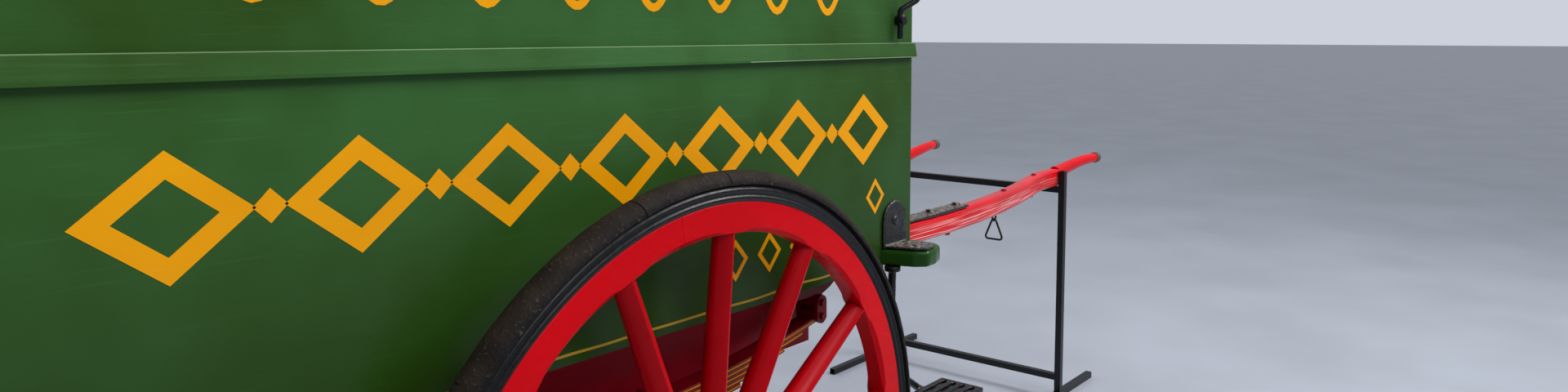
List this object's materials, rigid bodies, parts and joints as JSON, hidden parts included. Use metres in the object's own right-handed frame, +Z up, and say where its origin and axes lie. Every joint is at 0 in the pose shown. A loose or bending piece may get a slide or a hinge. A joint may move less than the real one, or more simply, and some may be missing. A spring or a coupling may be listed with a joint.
{
  "type": "two-wheeled horse-drawn delivery wagon",
  "caption": "Closed horse-drawn delivery wagon on large wooden rubber-tyred wheels, its shafts resting on a square tube stand.",
  "frame": {"origin": "on the floor, below the middle of the box around the whole wagon with its shafts", "axes": "+X forward towards the shaft tips, +Y to the wagon's left, +Z up"},
  "size_m": [4.1, 2.2236, 2.3358],
  "materials": {
    "green_paint": "brushed gloss coach paint on boards",
    "red_paint": "gloss red coach paint on turned and bent ash",
    "maroon_paint": "dull maroon paint on sawn timber",
    "maroon_iron": "maroon paint on spring steel and forgings",
    "black_iron": "thick gloss black over rough forged iron",
    "stand_paint": "satin black on square steel tube",
    "tyre_rubber": "solid rubber, worn and cracked",
    "ferrule_metal": "dull worn metal",
    "roof_canvas": "painted canvas on boards",
    "inside_paint": "cream paint on tongued boards",
    "bench_wood": "dark varnished board"
  },
  "bodies": {
    "wagon": {"side_right": "green_paint", "side_left": "green_paint", "belt_rails": "green_paint", "eaves_rails": "green_paint", "rear_frame": "green_paint", "front_header": "green_paint", "footboard": "green_paint", "roof": "roof_canvas", "bulkhead": "inside_paint", "tray_runners": "inside_paint", "floor": "bench_wood", "bench": "bench_wood", "sole_bars": "maroon_paint", "floor_bearers": "maroon_paint", "axle_pads": "maroon_paint", "axle": "maroon_iron", "spring_right": "maroon_iron", "spring_left": "maroon_iron", "spring_hangers": "maroon_iron", "spring_clips": "maroon_iron", "shafts": "red_paint", "shaft_tips": "ferrule_metal", "shaft_plates": "black_iron", "trace_links": "black_iron", "corner_irons": "black_iron", "step_irons": "black_iron", "lamp_irons": "black_iron", "front_posts": "black_iron", "hinge_pins": "black_iron", "stand": "stand_paint"},
    "wheel_right": {"felloes_right": "red_paint", "spokes_right": "red_paint", "nave_right": "red_paint", "hub_irons_right": "black_iron", "tyre_channel_right": "black_iron", "tyre_right": "tyre_rubber"},
    "wheel_left": {"felloes_left": "red_paint", "spokes_left": "red_paint", "nave_left": "red_paint", "hub_irons_left": "black_iron", "tyre_channel_left": "black_iron", "tyre_left": "tyre_rubber"},
    "door_right": {"door_right": "green_paint", "door_hinges_right": "black_iron", "door_handle": "black_iron"},
    "door_left": {"door_left": "green_paint", "door_hinges_left": "black_iron"}
  },
  "joints": [
    {"name": "wheel_right_spin", "type": "hinge", "parent": "wagon", "child": "wheel_right", "pos_m": [-0.983, -0.941, 0.63375], "axis": [0, 0.9996, 0.0286], "continuous": true},
    {"name": "wheel_left_spin", "type": "hinge", "parent": "wagon", "child": "wheel_left", "pos_m": [-0.983, 0.941, 0.63375], "axis": [0, 0.9996, -0.0286], "continuous": true},
    {"name": "door_right_hinge", "type": "hinge", "parent": "wagon", "child": "door_right", "pos_m": [-2.019, -0.783, 1.55499], "axis": [0, 0, 1], "range_deg": [0, 110]},
    {"name": "door_left_hinge", "type": "hinge", "parent": "wagon", "child": "door_left", "pos_m": [-2.019, 0.783, 1.55499], "axis": [0, 0, -1], "range_deg": [0, 110]}
  ]
}
